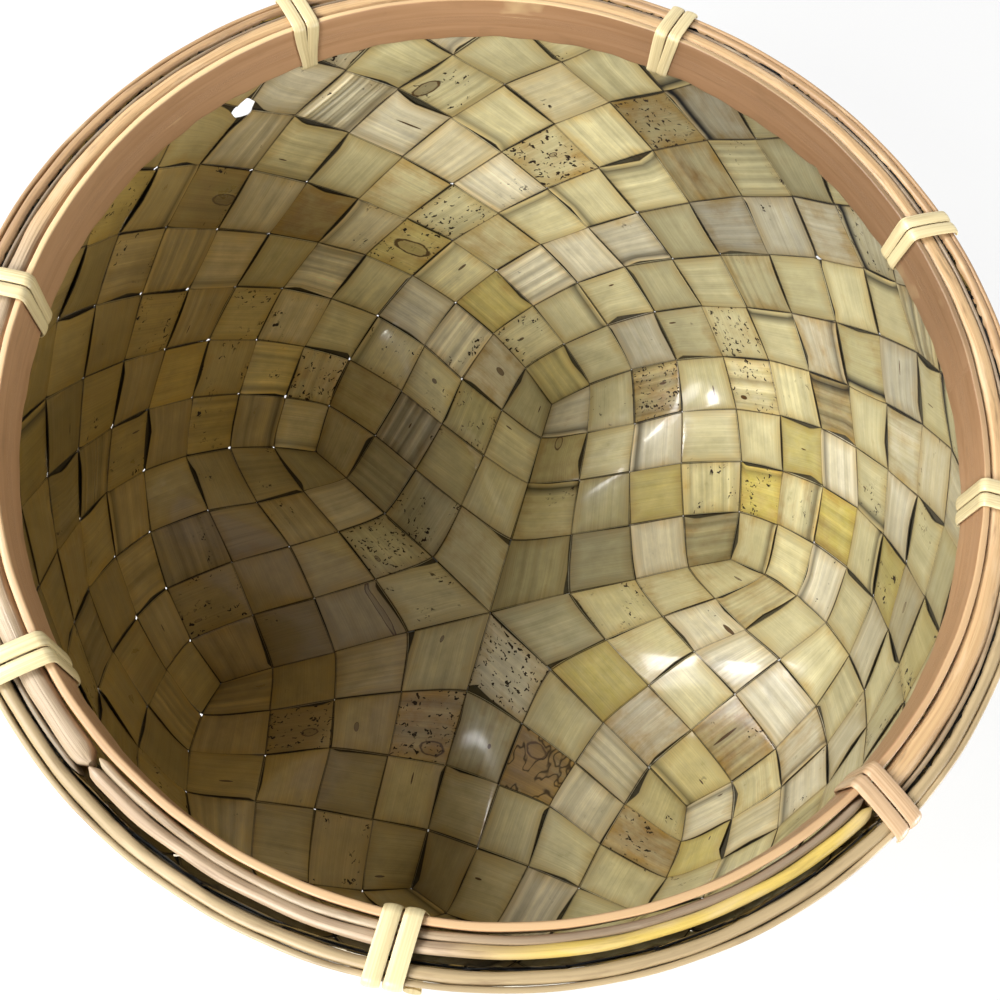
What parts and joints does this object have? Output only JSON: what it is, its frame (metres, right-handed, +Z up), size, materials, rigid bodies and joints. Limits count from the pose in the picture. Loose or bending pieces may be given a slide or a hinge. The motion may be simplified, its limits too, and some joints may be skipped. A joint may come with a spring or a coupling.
{
  "type": "plaited basket",
  "caption": "Open round farm basket plaited from flat laths, with a star-shaped base on pointed feet and a lashed hoop rim, for holding and carrying produce.",
  "frame": {"origin": "centre of the bounding box at the level of the six feet that the basket stands on", "axes": "+Z up out of the mouth, +Y along the rim's long way, +X along its short way"},
  "size_m": [0.2904, 0.3006, 0.2016],
  "materials": {
    "green_lath": "dried leaf-stalk lath, olive green, satin",
    "grey_lath": "dried leaf-stalk lath, grey green, satin",
    "yellow_lath": "dried leaf-stalk lath, yellow ochre, satin",
    "brown_lath": "dried leaf-stalk lath, brown, satin",
    "inner_hoop": "split cane, reddish brown, satin",
    "outer_hoop": "split cane, light tan, satin",
    "rim_cane": "split cane, pale beige, satin",
    "lashing": "thin split rattan, straw yellow, satin"
  },
  "bodies": {
    "root": {"lath_1_1": "green_lath", "lath_1_2": "yellow_lath", "lath_1_3": "green_lath", "lath_1_4": "grey_lath", "lath_2_1": "yellow_lath", "lath_2_2": "green_lath", "lath_2_3": "grey_lath", "lath_2_4": "green_lath", "lath_3_1": "green_lath", "lath_3_2": "green_lath", "lath_3_3": "grey_lath", "lath_3_4": "green_lath", "lath_4_1": "grey_lath", "lath_4_2": "brown_lath", "lath_4_3": "green_lath", "lath_4_4": "green_lath", "lath_5_1": "green_lath", "lath_5_2": "brown_lath", "lath_5_3": "green_lath", "lath_5_4": "grey_lath", "lath_6_1": "green_lath", "lath_6_2": "green_lath", "lath_6_3": "grey_lath", "lath_6_4": "green_lath", "inner_hoop": "inner_hoop", "outer_hoop": "outer_hoop", "outer_band": "outer_hoop", "far_rim_cane": "rim_cane", "near_rim_cane": "rim_cane", "lashing_1": "lashing", "lashing_2": "lashing", "lashing_3": "lashing", "lashing_4": "lashing", "lashing_5": "lashing", "lashing_6": "lashing", "lashing_7": "lashing", "lashing_8": "lashing"}
  },
  "joints": []
}
